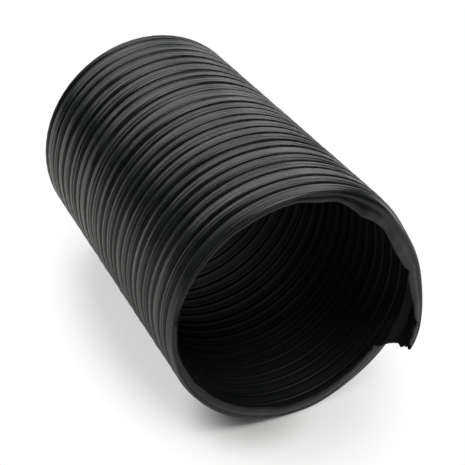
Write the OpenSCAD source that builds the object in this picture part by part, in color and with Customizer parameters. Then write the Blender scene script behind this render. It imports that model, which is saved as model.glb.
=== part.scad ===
// Cut length of wire-reinforced flexible duct hose, lying on its side with its turns pushed together.
// The hose runs along Y with its trimmed end at -Y, and stands on z = 0. Millimetres.

/* [Wall] */
// Clear bore between the inward folds
inside_d = 101.6; // [80:0.1:130]
// Thickness of the rubber wall
wall_t = 0.8; // [0.6:0.05:1]
// Height of a rib above the fold beside it
rib_h = 3.4; // [3.2:0.1:4.5]
// Depth of the crease that runs along the top of each rib
crease_h = 0.35; // [0.1:0.05:0.4]

/* [Turns] */
// Turns of the helix from end to end
turns = 24; // [14:0.5:24]
// Spacing of the turns in the tightly pushed front half
front_pitch = 6.53; // [6:0.05:8]
// Spacing of the turns towards the rear, where the hose has sprung back
rear_pitch = 8.41; // [7:0.05:11]
// Turn at which the spacing starts to open up
open_from = 11.25; // [4:0.25:16]
// Number of turns over which it opens up
open_over = 7.5; // [2:0.5:12]
// Unevenness of the spacing from one turn to the next
ripple = 0.75; // [0:0.05:0.9]
// How far the +X side of the turns lies behind their middle at the trimmed end
front_lean = -1.4; // [-3:0.1:1]
// How far it lies behind their middle at the rear
rear_lean = 3.8; // [1:0.1:4]
// Number of turns over which the lean changes
lean_over = 19; // [16:0.5:24]

/* [Spring wire] */
// Diameter of the spring steel wire
wire_d = 1.5; // [1:0.05:1.6]
// Clearance between the wire and the rubber around it
wire_gap = 0.1; // [0.05:0.01:0.2]
// Arc from the torn end of the wall to the front end of the wire, in degrees
wire_back = 130; // [120:1:300]

/* [Cover strip] */
// Thickness of the strip that seals the wire off from the bore
cover_t = 0.6; // [0.4:0.05:0.7]
// Clearance from the edges of the strip to the wall
cover_gap = 0.15; // [0.1:0.05:0.4]

/* [Trimmed end] */
// How far the torn end of the last turn has sprung forward
spring_out = 6.3; // [0:0.5:8]
// Arc over which it springs forward, in degrees
spring_arc = 62; // [60:1:118]
// How far the sprung stretch is drawn in towards the axis behind the flared tip
tuck_in = 1.2; // [0:0.1:3]
// Slant of the tear, as the arc from its root to its tip, in degrees
tear_slant = 14; // [0:1:16]
// Width of the lip that curls inward all round
lip_w = 3.5; // [3:0.1:5]
// Height of the waves along the edge of the lip
lip_wave = 2.5; // [0:0.1:2.5]

/* [Rest] */
// Depth of the flat that the floor presses into the lowest ribs
flat_depth = 0.5; // [0.4:0.05:0.6]

/* [Hidden] */

// Stations round one turn. They straddle the lowest line of the hose, so the flats lie level.
stations = 23;
step = 360 / stations;
steps_to_tear = 3.5;
start_a = -90 + steps_to_tear * step;
last = round(stations * turns);
end_a = start_a + last * step;
facet = cos(step / 2);

// Radii of the wall at its corners: fold groove, rib crest and crease outside, fold and roof inside
fold_in_r = inside_d / 2;
groove_r = fold_in_r + wall_t;
crest_r = groove_r + rib_h;
roof_r = crest_r - wall_t;
rest_h = crest_r * facet - flat_depth;

// Places of the corners along one pitch, as shares of it, and the set-in of the inner corners
crest_a_share = 0.23;
crest_b_share = 0.77;
crease_share = 0.5;
inset = 0.6 * wall_t;

// The wire hangs from the roof of the rib, and the strip lies under the wire
wire_r = roof_r * facet - wire_gap - wire_d / 2;
cover_top_r = wire_r - wire_d / 2 - wire_gap / 2;
cover_in_r = cover_top_r - cover_t;

// A wave is [degrees for each unit of t, start in degrees, share of the height]
function waves(t, list) = [for (w = list) sin(w[0] * t + w[1])] * [for (w = list) w[2]];
ripple_waves = [[162, -27.4, 0.93], [90.4, 178, 1.17], [96.7, 306.5, 1.47]];
lip_waves = [[1, 90, 0.7], [2, -90, 0.35], [9, 30, 0.1]];

// The spacing opens up towards the rear and closes again over the last turn
function ease(t) = let (c = min(max(t, 0), 1)) c * c * (3 - 2 * c);
function local_pitch(t) =
    front_pitch + (rear_pitch - front_pitch) * (ease((t - open_from) / open_over) - ease(t - turns + 1))
    + ripple * waves(t, ripple_waves);

// Each half turn of the helix lies in a plane of its own, tilted by half a pitch.
// joint_s holds where the half turns meet, from the one before angle 0 to two turns past the end.
half_turns = ceil(end_a / 180) + 4;
joint_s = [
    for (k = 0, s = -local_pitch(0) / 2; k <= half_turns + 1;
        s = s + local_pitch((k - 1) / 2) / 2, k = k + 1) s
];
function half_of(a) = floor(a / 180);
function joint_at(k) = joint_s[k + 1];
function along(a) =
    let (k = half_of(a)) joint_at(k) + (joint_at(k + 1) - joint_at(k)) * (1 - cos(a - 180 * k)) / 2;

// Distance along the hose to the fold at angle a, with the lean of the turns
function lean(a) = front_lean + (rear_lean - front_lean) * ease(a / 360 / lean_over);
function fold_s(a) = along(a) + lean(a) * cos(a);

// Share of the sprung arc passed at angle a. The torn end bends forward out of the helix,
// and it flares outward at its tip and is drawn in behind it.
flare_share = 0.22;
function sprung(a) = min(1, (a - start_a) / spring_arc);
function forward(a) = spring_out * (1 - ease(sprung(a)));
function inward(a) = tuck_in * sin(180 * (sprung(a) - flare_share) / (1 - flare_share));

function angle_of(j) = start_a + j * step;
function pitch_of(j) = let (a = angle_of(j)) fold_s(a + 360) - fold_s(a);

// A wall corner at station j: distance from the axis, distance along from the fold, and shift round the axis
function place(j, r, off, shift) =
    let (a = angle_of(j), b = a + shift, out = r - inward(a))
    [out * cos(b), max(out * sin(b), -rest_h), fold_s(a) - forward(a) + off];

// Width of the rib at station j. It narrows to the rim at the far end.
rim_share = 0.6;
rim_arc = 60;
function rib_w(j) = pitch_of(j) * (1 - (1 - rim_share) * ease((j - last + stations) * step / rim_arc));

// Corners outside and inside, in the same order: fold, first crest, crease, second crest.
// The foremost fold has no turn before it to push it in, so it stands part of the way up the rib.
corners = 4;
open_fold = 0.35 * rib_h;
function fold_up(j) = j < stations ? open_fold : 0;
function outer_r(j) = [groove_r + fold_up(j), crest_r, crest_r - crease_h, crest_r];
function inner_r(j) = [fold_in_r + fold_up(j), roof_r, roof_r, roof_r];
function outer_off(j) = let (p = rib_w(j)) [0, p * crest_a_share, p * crease_share, p * crest_b_share];
function inner_off(j) =
    let (p = rib_w(j))
    [j < stations ? inset : 0, p * crest_a_share + inset, p * crease_share, p * crest_b_share - inset];

// The tear starts at its root, on the fold behind the last turn, and slants ragged to its tip on the lip
tear_root = -0.22 * tear_slant;
tear_rib = 0.37 * tear_slant;
tear_tip = 0.68 * tear_slant;
ragged = 0.6;
function tear(j, k) =
    j == 0 ? (k < 0 ? tear_tip : tear_rib + (k % 2 == 0 ? ragged : -ragged))
    : j == stations && k < 1 ? tear_root : 0;

// The lip goes on inward from the foremost fold, in waves, and narrows at both ends of its turn
lip_lean = 0.25;
lip_end_share = 0.25;
lip_end_arc = 60;
function lip_reach(j) =
    let (a = j * step, swell = ease(a / lip_end_arc) * ease((360 - a) / lip_end_arc))
    (lip_w + lip_wave * waves(a, lip_waves)) * (lip_end_share + (1 - lip_end_share) * swell);

function id(j, k) = k < corners ? j * corners + k : (j + stations) * corners + k - corners;
lip_from = (last + 1) * corners;
function lip_id(j) = lip_from + j;

// All points of one face of the wall: its corners turn by turn, then the lip
function face_points(r, off, lip_r, lip_off) = concat(
    [for (j = [0 : last], rj = [r(j)], oj = [off(j)], k = [0 : corners - 1])
        place(j, rj[k], oj[k], tear(j, k))],
    [for (j = [0 : stations], in = [lip_reach(j)])
        place(j, lip_r - in, lip_off - lip_lean * in, tear(j, -1))]
);

module hose_wall() {
    inside = face_points(function (j) inner_r(j), function (j) inner_off(j), fold_in_r + open_fold, wall_t);
    n = len(outside_points);
    quads = concat(
        [for (j = [0 : last - 1], k = [0 : j < last - stations ? corners - 1 : corners - 2])
            [id(j, k), id(j + 1, k), id(j + 1, k + 1), id(j, k + 1)]],
        [for (j = [0 : stations - 1]) [lip_id(j), lip_id(j + 1), id(j + 1, 0), id(j, 0)]]
    );
    // Free edges of the wall: lip, tear, far rim, end of the far turn
    edges = concat(
        [for (j = [0 : stations - 1]) [lip_id(j), lip_id(j + 1)]],
        [[lip_id(stations), id(stations, 0)], [id(0, 0), lip_id(0)]],
        [for (k = [0 : corners - 1]) [id(0, k + 1), id(0, k)]],
        [for (j = [last - stations : last - 1]) [id(j + 1, corners - 1), id(j, corners - 1)]],
        [for (k = [0 : corners - 2]) [id(last, k), id(last, k + 1)]],
        [[id(last - stations, corners - 1), id(last, 0)]]
    );
    color("#2c2c2b")
        lay_down()
            polyhedron(
                concat(outside_points, inside),
                concat(
                    [for (q = quads) each [[q[2], q[1], q[0]], [q[3], q[2], q[0]]]],
                    [for (q = quads) each [[q[0] + n, q[1] + n, q[2] + n], [q[0] + n, q[2] + n, q[3] + n]]],
                    [for (e = edges) each [[e[0], e[1], e[1] + n], [e[0], e[1] + n, e[0] + n]]]
                ),
                convexity = 10
            );
}

// A strand of one section, wound inside the rib. A corner is [distance from the axis, place across the rib].
module strand(section) {
    n = len(section);
    points = [
        for (j = [strand_first : strand_last], mid = [pitch_of(j) / 2], corner = section)
            place(j, corner[0], mid + corner[1], 0)
    ];
    end = n * (strand_last - strand_first);
    sides = [for (j = [0 : n : end - n], k = [0 : n - 1]) let (next = (k + 1) % n)
        [j + k, j + next, j + n + next, j + n + k]];
    lay_down()
        polyhedron(
            points,
            concat(
                [for (q = sides) each [[q[2], q[1], q[0]], [q[3], q[2], q[0]]]],
                [for (k = [1 : n - 2]) each [[0, k, k + 1], [end + k + 1, end + k, end]]]
            ),
            convexity = 10
        );
}
strand_first = ceil(wire_back / step);
strand_last = last - stations - 1;

wire_sides = 6;
wire_section = [
    for (k = [0 : wire_sides - 1]) let (a = (k + 1 / 2) * 360 / wire_sides)
        [wire_r + wire_d / 2 * cos(a), wire_d / 2 * sin(a)]
];
module spring_wire() {
    color("#b4b6b8") strand(wire_section);
}

// The strip runs from one side of the rib to the other under the wire, where the turns are closest
least_pitch = min([for (j = [0 : last - stations]) pitch_of(j)]);
function cover_half(r) =
    let (up = (r - fold_in_r * facet) / ((roof_r - fold_in_r) * facet))
    least_pitch * (1 / 2 - crest_a_share * max(up, 0)) - inset - cover_gap;

module wire_cover_strip() {
    low = cover_half(cover_in_r);
    top = cover_half(cover_top_r);
    color("#3b3b39") strand([[cover_in_r, -low], [cover_top_r, -top], [cover_top_r, top], [cover_in_r, low]]);
}

// From the winding's own axis to the hose lying along Y, with its length centred
outside_points =
    face_points(function (j) outer_r(j), function (j) outer_off(j), groove_r + open_fold, 0);
front_s = min([for (p = outside_points) p.z]);
rear_s = max([for (p = outside_points) p.z]);
module lay_down() {
    translate([0, -(front_s + rear_s) / 2, rest_h]) mirror([0, 1, 0]) rotate([90, 0, 0]) children();
}

echo(least_gap_between_wire_turns = least_pitch - wire_d);

hose_wall();
spring_wire();
wire_cover_strip();
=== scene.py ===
import math

import bpy
import numpy as np
from mathutils import Matrix, Vector


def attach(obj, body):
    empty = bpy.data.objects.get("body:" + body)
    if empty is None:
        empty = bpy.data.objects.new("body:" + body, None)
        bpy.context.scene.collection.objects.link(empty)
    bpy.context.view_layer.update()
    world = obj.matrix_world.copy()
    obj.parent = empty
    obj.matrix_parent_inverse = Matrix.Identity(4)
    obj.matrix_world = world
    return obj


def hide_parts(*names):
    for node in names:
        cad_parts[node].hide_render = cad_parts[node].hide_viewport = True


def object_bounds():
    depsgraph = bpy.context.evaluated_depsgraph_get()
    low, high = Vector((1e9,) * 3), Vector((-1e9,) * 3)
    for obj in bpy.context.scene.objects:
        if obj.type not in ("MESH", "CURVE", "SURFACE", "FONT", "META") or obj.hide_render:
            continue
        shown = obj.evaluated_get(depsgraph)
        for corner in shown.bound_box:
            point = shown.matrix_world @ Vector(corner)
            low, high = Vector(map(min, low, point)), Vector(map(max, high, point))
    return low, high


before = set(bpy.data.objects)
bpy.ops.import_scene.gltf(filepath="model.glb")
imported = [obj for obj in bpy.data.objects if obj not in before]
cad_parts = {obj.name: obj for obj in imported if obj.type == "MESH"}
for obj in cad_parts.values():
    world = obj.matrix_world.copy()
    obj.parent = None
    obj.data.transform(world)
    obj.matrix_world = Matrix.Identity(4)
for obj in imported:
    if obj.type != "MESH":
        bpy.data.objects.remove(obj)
cadLow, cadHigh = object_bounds()
print("frame loaded:", ", ".join(sorted(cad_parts)))

mm = 0.001
slack = 0.01  # places closer than this are the same, in degrees, millimetres or shares

# The winding that the wall, the strip and the wire share, in millimetres, degrees and turns
helix = {
    "crestRadius": 55, "foldRadius": 51.6,
    "middle": 85.4653,  # how far along the winding the hose's own middle lies
    "turns": 24, "startAngle": -35.217, "spareHalfTurns": 8,
    # the turns lie closer at the mouth: both pitches, from which turn and over how many they open up
    "frontPitch": 6.53, "rearPitch": 8.41, "openFrom": 11.25, "openOver": 7.5,
    "ripple": 0.75, "rippleWaves": ((162, -27.4, 0.93), (90.4, 178, 1.17), (96.7, 306.5, 1.47)),
    # how far forward or back the turns lean on the right, and over how many turns that changes
    "frontLean": -1.4, "rearLean": 3.8, "leanOver": 19,
    # the share of the last rib that is left, how narrow it gets and over which arc
    "endShare": 0.77, "rimShare": 0.6, "rimArc": 60,
}


def ease(t):
    t = np.clip(t, 0, 1)
    return t * t * (3 - 2 * t)


def waves(t, parts):  # a part is degrees for each unit of t, start in degrees, height
    return sum(height * np.sin(np.radians(rate * t + start)) for rate, start, height in parts)


def localPitch(turn):
    opened = ease((turn - helix["openFrom"]) / helix["openOver"]) - ease(turn - helix["turns"] + 1)
    spread = helix["rearPitch"] - helix["frontPitch"]
    return helix["frontPitch"] + spread * opened + helix["ripple"] * waves(turn, helix["rippleWaves"])


def halfTurnPlaces():  # where each half turn begins, from the one before angle 0 to a few past the end
    places = [-localPitch(0) / 2]
    for k in range(2 * helix["turns"] + helix["spareHalfTurns"]):
        places.append(places[-1] + localPitch((k - 1) / 2) / 2)
    return np.array(places)


halfTurns = halfTurnPlaces()


def along(angle):  # distance of the fold from the winding's zero at a helix angle
    k = np.floor(np.asarray(angle) / 180).astype(int)
    share = (1 - np.cos(np.radians(angle - 180 * k))) / 2
    return halfTurns[k + 1] + (halfTurns[k + 2] - halfTurns[k + 1]) * share


def foldPlace(angle):  # the same with the lean of the turns
    leaning = ease(angle / 360 / helix["leanOver"])
    lean = helix["frontLean"] + (helix["rearLean"] - helix["frontLean"]) * leaning
    return along(angle) + lean * np.cos(np.radians(angle))


def pitchAt(angle):
    return foldPlace(angle + 360) - foldPlace(angle)


endAngle = helix["startAngle"] + 360 * helix["turns"]
axisHeight = cadHigh.z / mm - helix["crestRadius"]


def toRow(angle, radius, distance):  # from the winding to the row frame, pressed flat on the floor
    turned = np.radians(angle)
    z = np.maximum(axisHeight + radius * np.sin(turned), 0)
    return np.stack([radius * np.cos(turned), distance - helix["middle"], z], axis=-1) * mm


# ---- modelling helpers ----
def addOutline(name, points):  # a line of vertices, extruded one by one
    bpy.ops.object.select_all(action="DESELECT")
    bpy.ops.mesh.primitive_plane_add(size=mm)
    piece = bpy.context.object
    piece.name = piece.data.name = name
    bpy.ops.object.mode_set(mode="EDIT")
    bpy.ops.mesh.select_all(action="SELECT")
    bpy.ops.mesh.merge(type="CENTER")
    bpy.ops.transform.translate(value=points[0])
    for before, after in zip(points, points[1:]):
        step = Vector(after) - Vector(before)
        bpy.ops.mesh.extrude_region_move(TRANSFORM_OT_translate={"value": step})
    bpy.ops.object.mode_set(mode="OBJECT")
    return piece


def getPoints(piece):
    points = np.empty(3 * len(piece.data.vertices))
    piece.data.vertices.foreach_get("co", points)
    return points.reshape(-1, 3)


def setPoints(piece, points):
    piece.data.vertices.foreach_set("co", np.asarray(points, float).ravel())
    piece.data.update()


def applyModifier(piece, kind, **settings):
    modifier = piece.modifiers.new(kind.lower(), kind)
    for name, value in settings.items():
        setattr(modifier, name, value)
    bpy.ops.object.modifier_apply(modifier=modifier.name)


def ringAngles(first, last, perTurn):  # the same places in every turn, and one at the end
    return np.append(np.arange(first, last - slack, 360 / perTurn), last)


def windUp(piece, angles):  # screws the section round the hose's axis, with a ring at each angle
    section = getPoints(piece) / mm
    turned = angles[-1] - angles[0]
    steps = len(angles) - 1
    applyModifier(
        piece, "SCREW", axis="Y", angle=-math.radians(turned), steps=steps, render_steps=steps,
        screw_offset=helix["frontPitch"] * mm * turned / 360, use_normal_calculate=False)
    radius, across = np.tile(section[:, :2], (len(angles), 1)).T
    return np.repeat(angles, len(section)), radius, across


def layUv(piece, angle, across):  # u runs along the helix and v across it, in metres
    layer = piece.data.uv_layers.new(name="windingMap")
    corner = np.empty(len(piece.data.loops), int)
    piece.data.loops.foreach_get("vertex_index", corner)
    length = np.radians(angle) * helix["crestRadius"] * mm
    layer.data.foreach_set("uv", np.stack([length[corner], across[corner] * mm], axis=-1).ravel())


def deletePoints(piece, chosen):
    bpy.ops.object.mode_set(mode="EDIT")
    bpy.ops.mesh.select_mode(type="VERT")
    bpy.ops.mesh.select_all(action="DESELECT")
    bpy.ops.object.mode_set(mode="OBJECT")
    piece.data.vertices.foreach_set("select", chosen)
    bpy.ops.object.mode_set(mode="EDIT")
    bpy.ops.mesh.delete(type="VERT")
    bpy.ops.object.mode_set(mode="OBJECT")


def joinUp(piece):  # merges what touches and points the faces outwards
    bpy.ops.object.mode_set(mode="EDIT")
    bpy.ops.mesh.select_all(action="SELECT")
    bpy.ops.mesh.remove_doubles(threshold=slack * mm)
    bpy.ops.mesh.normals_make_consistent(inside=False)
    bpy.ops.object.mode_set(mode="OBJECT")


# ---- wound rubber wall ----
wall = {
    "thickness": 0.8, "rootAngle": -38.3,
    "mouthSteps": 192, "stepsPerTurn": 64,  # the first is a multiple of the second
    # shares of the pitch from one groove to the next
    "outline": (0, 0.025, 0.055, 0.09, 0.13, 0.18, 0.24, 0.31, 0.37, 0.395, 0.42, 0.445, 0.47, 0.53, 0.6,
                0.64, 0.66, 0.68, 0.7, 0.72, 0.78, 0.83, 0.87, 0.9, 0.93, 0.96, 0.98),
    "frontFlank": 0.2, "rearFlank": 0.14,
    # where the crown is highest, how far it drops half a rib away, and how its place drifts
    "crownAt": 0.56, "crownDrop": 0.5, "crownWaves": ((203, 0, 0.05), (77, 90, 0.05)),
    # creases along the crown: place, width and depth, and how the depth changes from turn to turn
    "creases": ((0.42, 0.05, 0.15), (0.68, 0.04, 0.06)), "creaseWaves": ((230, 60, 0.5), (97, 10, 0.5)),
    # how wide each groove gapes, turn by turn from the mouth, in millimetres
    "gapes": (2.6, 1.7, 1.3, 1.8, 2.4, 2.0, 2.2, 1.7, 1.6, 2.0, 1.6, 1.4, 2.3, 1.6, 1.4, 3.0, 1.3, 2.9,
              2.9, 2.7, 1.7, 1.5, 1.7),
    "gapeTurn": 1.28, "gapeWaves": ((0.9, 0, 0.1), (2.1, 50, 0.08)),
    "gapeSide": 172, "gapeMore": 0.3,  # they gape wider towards this angle
    "sag": 0.1, "sagWaves": ((2.3, 0, 0.5), (0.71, 40, 0.5)),  # how far the whole wall sags in, unevenly
    # the foremost rib slopes up from the open fold: how far that fold stands out past the others, where
    # on the rib the slope ends, the share whose height it has there, and the arc over which it fades out
    "openFold": 2.5, "slopeEnd": 0.5, "slopeTop": 0.4, "openFoldArc": 45,
    "openCrease": 0.5, "openCreaseWidth": 0.06,
    # how far and over which arc the torn stretch stands forward, how far it is drawn in, the share of it
    # that flares, and the share of the rib over which all this fades to its rear fold
    "springOut": 6.3, "springArc": 62, "tuckIn": 1.2, "flareShare": 0.22, "springFade": 0.3,
    # the lip leans forward and its edge curls back, with a low fold along it and rumples across it
    "lipRows": 12, "lipLean": 0.42, "lipCurl": 0.7,
    "lipFold": 0.35, "lipFoldAt": 0.38, "lipFoldWidth": 0.12,
    "lipRumple": ((9, 20, 0.16), (17, 75, 0.13), (31, 200, 0.08), (47, 40, 0.06)),
    # nicks in the lip's edge: angle, half width and depth
    "nicks": ((13, 2.2, 1.5), (-24, 2.5, 1.6), (166, 2.5, 0.5), (205, 2, 0.6), (262, 6, 0.7)),
    # where the mouth is pushed in: angle, arc and depth, the turn from which it fades and over how many
    "dents": ((34, 17, 2.3), (304, 16, 0.8)), "dentFrom": 0.6, "dentTurns": 0.5,
    # width of the lip, by angle round the mouth
    "lipAngles": (-38, -20, 0, 12, 27, 44, 61, 75, 85, 95, 120, 160, 185, 205, 225, 250, 285, 322),
    "lipWidths": (3.7, 4.7, 6.5, 7.1, 8.3, 6.3, 7.5, 3.7, 4.1, 2.6, 2.5, 1.7, 1.7, 4.1, 5.8, 7.2, 6.7, 3.3),
    # how far the torn edge lies ahead of its root in degrees, by share of the rib, lip first, and over
    # which arc the wall behind it makes up for that
    "tearShares": (-1, -0.5, 0, 0.2, 0.45, 0.6, 0.7, 0.76, 0.84, 0.92, 1),
    "tearAhead": (12.6, 10.8, 8.9, 7.7, 8.8, 7.4, 8.6, 5.6, 6.6, 4.4, 0),
    "tearBlend": 40,
}


def ribRadius(share, angle):  # the outline's distance from the axis, a share of the way between two grooves
    turn = angle / 360
    rise = ease(share / wall["frontFlank"]) * ease((1 - share) / wall["rearFlank"])
    fromCrown = share - wall["crownAt"] - waves(turn, wall["crownWaves"])
    crown = helix["crestRadius"] - wall["crownDrop"] * (2 * fromCrown) ** 2
    crease = 0
    for place, width, depth in wall["creases"]:
        deep = depth * (1 + waves(turn + place, wall["creaseWaves"]))
        crease = crease + deep * np.clip(1 - np.abs(share - place) / width, 0, 1)
    return helix["foldRadius"] + rise * (crown - helix["foldRadius"]) - crease


def gapeAt(angle):  # width of the groove whose fold is at this angle
    width = np.interp(angle / 360 - wall["gapeTurn"], range(len(wall["gapes"])), wall["gapes"])
    side = wall["gapeMore"] * np.cos(np.radians(angle - wall["gapeSide"]))
    return width * (1 + side + waves(angle, wall["gapeWaves"]))


def behindFold(angle, onRib):  # each groove gapes by its own width, whatever the width of the ribs beside it
    narrowed = (1 - helix["rimShare"]) * ease((angle - endAngle + 360) / helix["rimArc"])
    pitch = pitchAt(angle) * (1 - narrowed)
    front, rear = wall["frontFlank"], wall["rearFlank"]
    frontWidth = gapeAt(angle) * front / (front + rear)
    rearWidth = gapeAt(angle + 360) * rear / (front + rear)
    onCrown = frontWidth + (onRib - front) / (1 - front - rear) * (pitch - frontWidth - rearWidth)
    offset = np.where(onRib < front, onRib / front * frontWidth, onCrown)
    return np.where(onRib > 1 - rear, pitch - (1 - onRib) / rear * rearWidth, offset)


def slopeRadius(angle, share):  # the front of the foremost rib, which has no neighbour to fold against
    foot = helix["foldRadius"] + wall["openFold"]
    climbed = np.sin(np.pi / 2 * np.clip(share / wall["slopeEnd"], 0, 1))
    crease = wall["openCrease"] * np.clip(1 - np.abs(share) / wall["openCreaseWidth"], 0, 1)
    return foot + (ribRadius(wall["slopeTop"], angle) - foot) * climbed - crease


def lipWidth(angle):
    width = np.interp(angle, wall["lipAngles"], wall["lipWidths"])
    return width - sum(depth * np.exp(-((angle - at) / half) ** 2) for at, half, depth in wall["nicks"])


def dentDepth(angle, wound):
    depths = 0
    for at, arc, depth in wall["dents"]:
        aside = (angle - at + 180) % 360 - 180
        fade = np.maximum((wound - at) / 360 - wall["dentFrom"], 0) / wall["dentTurns"]
        depths = depths + depth * np.exp(-(aside / arc) ** 2 - fade)
    return depths


def shapeWall(piece, angle, share):
    passed = angle - wall["rootAngle"]
    first = passed < 360 - slack
    onRib = np.clip(share, 0, 1)
    onLip = np.clip(-share, 0, 1)
    offset = behindFold(angle, onRib)
    wound = angle + 360 * onRib  # the same on both sides of a fold
    radius = ribRadius(onRib, angle) - wall["sag"] * (1 + waves(wound, wall["sagWaves"]))

    # The foremost rib slopes down to the open fold, and the lip goes on from there
    sloping = first & (share < wall["slopeEnd"])
    opened = np.where(sloping, ease((360 - passed) / wall["openFoldArc"]), 0)
    radius = radius + opened * (slopeRadius(angle, share) - radius)
    reach = onLip * lipWidth(angle)
    radius = radius - reach - dentDepth(angle, wound)
    rumple = onLip * waves(angle, wall["lipRumple"])
    fold = wall["lipFold"] * np.exp(-((onLip - wall["lipFoldAt"]) / wall["lipFoldWidth"]) ** 2)
    offset = offset - wall["lipLean"] * reach + wall["lipCurl"] * onLip ** 3 + rumple + fold

    # The torn stretch springs forward, flares at its tip and is drawn in behind it
    sprung = np.clip((angle - helix["startAngle"]) / wall["springArc"], 0, 1)
    free = np.where(first, ease((1 - share) / wall["springFade"]), 0)
    forward = wall["springOut"] * (1 - ease(sprung)) * free
    behindTip = (sprung - wall["flareShare"]) / (1 - wall["flareShare"])
    inward = wall["tuckIn"] * np.sin(np.pi * behindTip) * free
    ahead = np.interp(share, wall["tearShares"], wall["tearAhead"])
    swung = np.where(first, ahead * np.clip(1 - passed / wall["tearBlend"], 0, 1), 0)
    setPoints(piece, toRow(angle + swung, radius - inward, foldPlace(angle) - forward + offset))


def makeHoseWall():
    lip = -np.linspace(1, 0, wall["lipRows"], endpoint=False)
    share = np.concatenate([lip, wall["outline"], [1]])
    piece = addOutline("hoseWall", [(helix["crestRadius"] * mm, s * mm, 0) for s in share])
    mouthEnd = wall["rootAngle"] + 360
    rings = np.concatenate([ringAngles(wall["rootAngle"], mouthEnd, wall["mouthSteps"])[:-1],
                            ringAngles(mouthEnd, endAngle, wall["stepsPerTurn"])])
    angle, radius, share = windUp(piece, rings)
    # The finer rings of the first turn close up to the others where they meet the second
    step = 360 / wall["stepsPerTurn"]
    nearest = wall["rootAngle"] + np.round((angle - wall["rootAngle"]) / step) * step
    angle = np.where((share > 1 - slack) & (angle < mouthEnd), nearest, angle)
    shapeWall(piece, angle, share)
    layUv(piece, angle, share * helix["frontPitch"])
    pastLip = (share < 0) & (angle > mouthEnd + slack)
    pastEnd = (share > helix["endShare"] + slack) & (angle > endAngle - 360)
    deletePoints(piece, pastLip | pastEnd)
    joinUp(piece)
    for side in ("outside", "inside", "edge"):
        piece.data.materials.append(None)
    applyModifier(
        piece, "SOLIDIFY", thickness=wall["thickness"] * mm, offset=-1,
        material_offset=1, material_offset_rim=2)
    bpy.ops.object.shade_smooth()
    print("hose wall:", len(piece.data.polygons), "faces")
    return piece


hoseWall = makeHoseWall()


# ---- strip wound under the wire ----
strip = {
    "fromAngle": 105.7, "toAngle": 8229, "topRadius": 51.95, "thickness": 0.55,
    "edgeGap": 1.45, "bulge": 0.45,  # it stops short of the folds and bulges into the bore between them
    "stepsPerTurn": 60, "cuts": 3, "smoothBelow": 50,
}


def makeCoverStrip():
    bpy.ops.object.select_all(action="DESELECT")
    middle = (strip["topRadius"] - strip["thickness"] / 2) * mm
    bpy.ops.mesh.primitive_plane_add(size=1, location=(middle, 0, 0))
    piece = bpy.context.object
    piece.name = piece.data.name = "wireCoverStrip"
    piece.scale = (strip["thickness"] * mm, 2 * mm, 1)  # from -1 to 1 across, its width follows later
    bpy.ops.object.transform_apply(location=True, rotation=True, scale=True)
    bpy.ops.object.mode_set(mode="EDIT")
    bpy.ops.mesh.select_all(action="SELECT")
    bpy.ops.mesh.delete(type="ONLY_FACE")
    bpy.ops.mesh.select_all(action="SELECT")
    bpy.ops.mesh.subdivide(number_cuts=strip["cuts"])
    bpy.ops.object.mode_set(mode="OBJECT")
    rings = ringAngles(strip["fromAngle"], strip["toAngle"], strip["stepsPerTurn"])
    angle, radius, across = windUp(piece, rings)
    inner = (strip["topRadius"] - radius) / strip["thickness"]  # 0 on the wire's side, 1 in the bore
    radius = radius - strip["bulge"] * inner * (1 - across ** 2)
    halfWidth = pitchAt(angle) / 2 - strip["edgeGap"]
    setPoints(piece, toRow(angle, radius, foldPlace(angle) + pitchAt(angle) / 2 + across * halfWidth))
    layUv(piece, angle, across * halfWidth)
    bpy.ops.object.mode_set(mode="EDIT")
    bpy.ops.mesh.select_all(action="DESELECT")
    bpy.ops.mesh.select_non_manifold()
    bpy.ops.mesh.edge_face_add()
    bpy.ops.object.mode_set(mode="OBJECT")
    joinUp(piece)
    bpy.ops.object.shade_smooth_by_angle(angle=math.radians(strip["smoothBelow"]))
    print("cover strip:", len(piece.data.polygons), "faces")
    return piece


coverStrip = makeCoverStrip()


# ---- materials ----
def linear(code):  # "#rrggbb" in sRGB to the shader's linear colour
    channels = [int(code[i:i + 2], 16) / 255 for i in (1, 3, 5)]
    return tuple(c / 12.92 if c <= 0.04045 else ((c + 0.055) / 1.055) ** 2.4 for c in channels) + (1,)


def addNode(tree, kind, inputs=(), **settings):
    made = tree.nodes.new("ShaderNode" + kind)
    for name, value in settings.items():
        setattr(made, name, value)
    for socket, value in dict(inputs).items():
        if isinstance(value, bpy.types.NodeSocket):
            tree.links.new(value, made.inputs[socket])
        else:
            made.inputs[socket].default_value = value
    return made


def newMaterial(name):
    material = bpy.data.materials.new(name)
    material.use_nodes = True
    material.node_tree.nodes.clear()
    return material, material.node_tree


# Black EPDM rubber, drawn and wound warm: satin, with fine draw lines along the winding,
# a faint dusty haze in patches and a few pale specks. Lengths are in millimetres
rubber = {
    "deep": "#0c0d0d", "haze": "#1e201f", "dust": "#6a6862",
    "smooth": 0.22, "rough": 0.4, "ior": 1.52, "specular": 0.5,
    "streakWidth": 0.5, "streakLength": 60, "grain": 0.3, "patch": 9,
    "streakHeight": 0.05, "grainHeight": 0.012,
    "hazeRange": (0.12, 0.4), "roughRange": (0.1, 0.45),  # of the patches times the streaks
    "speckSpacing": 2.4, "speckSize": 0.13, "speckCore": 0.6, "speckShade": 0.5,
}


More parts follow.
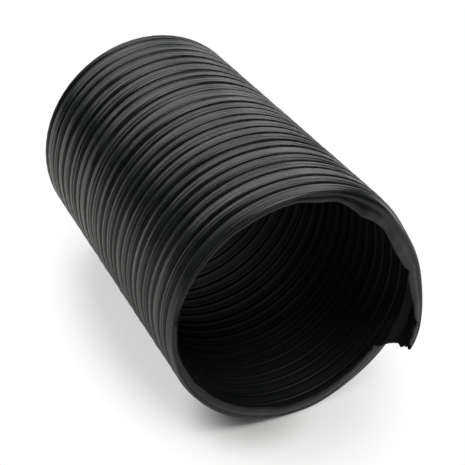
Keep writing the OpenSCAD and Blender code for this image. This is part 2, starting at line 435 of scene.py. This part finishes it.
def makeWoundRubber(name, look):
    material, tree = newMaterial(name)
    winding = addNode(tree, "UVMap", uv_map="windingMap").outputs["UV"]
    place = addNode(tree, "TexCoord").outputs["Object"]
    drawn = addNode(tree, "Mapping", {
        "Vector": winding, "Scale": (1 / (look["streakLength"] * mm), 1 / (look["streakWidth"] * mm), 1)})
    streak = addNode(tree, "TexNoise", {
        "Vector": drawn.outputs[0], "Scale": 1, "Detail": 3}, noise_dimensions="2D")
    patch = addNode(tree, "TexNoise", {"Vector": place, "Scale": 1 / (look["patch"] * mm), "Detail": 4})
    grain = addNode(tree, "TexNoise", {"Vector": place, "Scale": 1 / (look["grain"] * mm), "Detail": 2})
    speck = addNode(tree, "TexVoronoi", {"Vector": place, "Scale": 1 / (look["speckSpacing"] * mm)})
    clouded = addNode(tree, "Math", {0: patch.outputs[0], 1: streak.outputs[0]}, operation="MULTIPLY")
    hazed = addNode(tree, "MapRange", {
        "Value": clouded.outputs[0], "From Min": look["hazeRange"][0], "From Max": look["hazeRange"][1]})
    body = addNode(tree, "Mix", {
        "Factor": hazed.outputs[0], "A": linear(look["deep"]), "B": linear(look["haze"])}, data_type="RGBA")
    speckEdge = look["speckSize"] / look["speckSpacing"]
    dusty = addNode(tree, "MapRange", {
        "Value": speck.outputs["Distance"], "From Min": speckEdge, "From Max": speckEdge * look["speckCore"],
        "To Max": look["speckShade"]})
    colour = addNode(tree, "Mix", {
        "Factor": dusty.outputs[0], "A": body.outputs["Result"], "B": linear(look["dust"])},
        data_type="RGBA")
    rough = addNode(tree, "MapRange", {
        "Value": clouded.outputs[0], "From Min": look["roughRange"][0], "From Max": look["roughRange"][1],
        "To Min": look["smooth"], "To Max": look["rough"]})
    lines = addNode(tree, "Bump", {"Height": streak.outputs[0], "Distance": look["streakHeight"] * mm})
    relief = addNode(tree, "Bump", {
        "Height": grain.outputs[0], "Distance": look["grainHeight"] * mm, "Normal": lines.outputs[0]})
    surface = addNode(tree, "BsdfPrincipled", {
        "Base Color": colour.outputs["Result"], "Roughness": rough.outputs[0], "IOR": look["ior"],
        "Specular IOR Level": look["specular"], "Normal": relief.outputs[0]})
    addNode(tree, "OutputMaterial", {"Surface": surface.outputs[0]})
    return material


# The bore side of the wall: the same rubber as it came off the mandrel, matt and almost free of dust
innerRubber = dict(
    rubber, deep="#0b0c0c", haze="#161716", dust="#20201e",
    smooth=0.45, rough=0.65, specular=0.25, streakHeight=0.02)

# The trimmed and torn edge of the same rubber: greyer and quite dull, as it was never pressed smooth
edgeRubber = dict(
    rubber, deep="#1e1e1d", haze="#383735",
    smooth=0.6, rough=0.8, streakHeight=0, grainHeight=0.03)

# Rubber-coated fabric strip: dull and almost black
stripRubber = dict(
    innerRubber, deep="#121414", haze="#1b1e1d", dust="#262623", smooth=0.65, rough=0.8, specular=0.15)

# Hard-drawn spring steel wire: bright, with fine drawing marks round it and a thin grey film of oil
steel = {
    "bright": "#b9b7b2", "film": "#8d8b87", "filmPatch": 6,
    "roughness": 0.32, "mark": 0.12, "markHeight": 0.004,
}


def makeSpringSteel():
    material, tree = newMaterial("drawnSpringSteel")
    place = addNode(tree, "TexCoord").outputs["Object"]
    mark = addNode(tree, "TexNoise", {"Vector": place, "Scale": 1 / (steel["mark"] * mm), "Detail": 2})
    film = addNode(tree, "TexNoise", {"Vector": place, "Scale": 1 / (steel["filmPatch"] * mm), "Detail": 3})
    colour = addNode(tree, "Mix", {
        "Factor": film.outputs[0], "A": linear(steel["bright"]), "B": linear(steel["film"])},
        data_type="RGBA")
    relief = addNode(tree, "Bump", {"Height": mark.outputs[0], "Distance": steel["markHeight"] * mm})
    surface = addNode(tree, "BsdfPrincipled", {
        "Base Color": colour.outputs["Result"], "Metallic": 1, "Roughness": steel["roughness"],
        "Normal": relief.outputs[0]})
    addNode(tree, "OutputMaterial", {"Surface": surface.outputs[0]})
    return material


hoseWall.data.materials[0] = makeWoundRubber("woundEpdmRubber", rubber)
hoseWall.data.materials[1] = makeWoundRubber("innerEpdmRubber", innerRubber)
hoseWall.data.materials[2] = makeWoundRubber("cutEpdmRubber", edgeRubber)
coverStrip.data.materials.append(makeWoundRubber("coatedFabricStrip", stripRubber))
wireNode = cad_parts["spring_wire"]
springSteel = makeSpringSteel()
for slot in wireNode.material_slots:
    slot.material = springSteel
print("materials made")

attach(hoseWall, "root")
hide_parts("hose_wall")
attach(coverStrip, "root")
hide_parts("wire_cover_strip")

# ---- floor, light and camera ----
studio = {
    "floorSize": 8, "floorColour": "#f3f1ed",
    # ovals outside which white emission, seen only by the camera, is painted over the floor and over its
    # rendered
    # shadow, under the hose and its mouth: centre and half size as shares of the hose's half size, where in
    # the oval the white starts and is full, and the least white
    "hoseOval": ((0, 0), (1, 1), 0.9, 1.42, 0.6),
    # painted shadow: laid where the mouth's contact shadow falls, it lets the paper's rendered shade show
    "mouthShadowOval": ((-0.3, -0.76), (0.44, 0.25), 0.2, 1.35, 0.05),
    "whiteMirrored": 0.08,  # how white the rubber mirrors it
    "worldColour": "#909aa0", "worldStrength": 0.18,
    # soft boxes: place, size and power
    "boxes": {
        "backBox": ((0.25, 0.75, 1.0), (1.5, 1.0), 8.8),
        "leftBox": ((-0.39, 0.76, 0.53), (0.34, 0.38), 0.62),
        "rightBox": ((0.62, 0.7, 0.36), (0.36, 0.42), 0.58),
        "topBox": ((0.1, -0.5, 1.2), (0.7, 0.5), 6.8),
    },
}
view = {
    "azimuth": -24.63, "elevation": 31.63, "clipStart": 0.01,
    "focal": 1134, "pixels": 465, "sensor": 36,  # focal length and width in pixels, sensor in millimetres
    # from the middle of the mouth, at this helix angle, in crest radii: to the left, up and back
    "mouthAngle": 420, "offset": (0.4582, 0.5324, 8.248),
}


def whiteOutside(tree, place, oval):  # how white the floor is in and round an oval, up to 1
    centre, half, start, full, least = oval
    away = addNode(tree, "VectorMath", {
        0: place, 1: (centre[0] * cadHigh.x, centre[1] * cadHigh.y, 0)}, operation="SUBTRACT")
    shrunk = addNode(tree, "Mapping", {
        "Vector": away.outputs[0], "Scale": (1 / (half[0] * cadHigh.x), 1 / (half[1] * cadHigh.y), 1)})
    far = addNode(tree, "VectorMath", {0: shrunk.outputs[0]}, operation="LENGTH")
    white = addNode(tree, "MapRange", {
        "Value": far.outputs["Value"], "From Min": start, "From Max": full, "To Min": least},
        interpolation_type="SMOOTHSTEP")
    return white.outputs[0]


def makeFloor():
    bpy.ops.object.select_all(action="DESELECT")
    bpy.ops.mesh.primitive_plane_add(size=studio["floorSize"])
    floor = bpy.context.object
    floor.name = "paperFloor"
    # White seamless paper: matt, with white emission painted over it and over its rendered shadow away from
    # the hose
    material, tree = newMaterial("seamlessPaper")
    place = addNode(tree, "TexCoord").outputs["Object"]
    path = addNode(tree, "LightPath")
    # share of white emission painted over the paper and its rendered shadow, least where the mouth's contact
    # shadow falls
    paintedWhiteShare = addNode(tree, "Math", {
        0: whiteOutside(tree, place, studio["hoseOval"]),
        1: whiteOutside(tree, place, studio["mouthShadowOval"])}, operation="MULTIPLY")
    seen = addNode(tree, "Math", {
        0: paintedWhiteShare.outputs[0], 1: path.outputs["Is Camera Ray"]}, operation="MULTIPLY")
    mirrored = addNode(tree, "Math", {
        0: studio["whiteMirrored"], 1: path.outputs["Is Glossy Ray"]}, operation="MULTIPLY")
    share = addNode(tree, "Math", {0: seen.outputs[0], 1: mirrored.outputs[0]}, operation="MAXIMUM")
    paper = addNode(tree, "BsdfDiffuse", {"Color": linear(studio["floorColour"])})
    white = addNode(tree, "Emission", {"Strength": 1})
    mixed = addNode(tree, "MixShader", {0: share.outputs[0], 1: paper.outputs[0], 2: white.outputs[0]})
    addNode(tree, "OutputMaterial", {"Surface": mixed.outputs[0]})
    floor.data.materials.append(material)


def makeLight():
    world = bpy.data.worlds.new("studio")
    world.use_nodes = True
    world.node_tree.nodes.clear()
    background = addNode(world.node_tree, "Background", {
        "Color": linear(studio["worldColour"]), "Strength": studio["worldStrength"]})
    addNode(world.node_tree, "OutputWorld", {"Surface": background.outputs[0]})
    bpy.context.scene.world = world
    for name, (place, size, power) in studio["boxes"].items():
        bpy.ops.object.light_add(type="AREA", location=place)
        box = bpy.context.object
        box.name = name
        box.data.shape = "RECTANGLE"
        box.data.size, box.data.size_y = size
        box.data.energy = power
        box.rotation_euler = (-Vector(place)).to_track_quat("-Z", "Y").to_euler()


def makeCamera():
    turn, tip = math.radians(view["azimuth"]), math.radians(view["elevation"])
    right = Vector((math.cos(turn), math.sin(turn), 0))
    ahead = Vector((-math.sin(turn) * math.cos(tip), math.cos(turn) * math.cos(tip), -math.sin(tip)))
    up = right.cross(ahead)
    mouth = Vector((0, float(along(view["mouthAngle"]) - helix["middle"]), axisHeight)) * mm
    left, above, back = (helix["crestRadius"] * mm * share for share in view["offset"])
    bpy.ops.object.camera_add(location=mouth - left * right + above * up - back * ahead)
    camera = bpy.context.object
    camera.rotation_euler = Matrix((right, up, -ahead)).transposed().to_euler()
    camera.data.sensor_width = view["sensor"]
    camera.data.lens = view["focal"] / view["pixels"] * view["sensor"]
    camera.data.clip_start = view["clipStart"]
    bpy.context.scene.camera = camera


makeFloor()
makeLight()
makeCamera()
bpy.context.scene.view_settings.view_transform = "Standard"
print("floor, light and camera set")
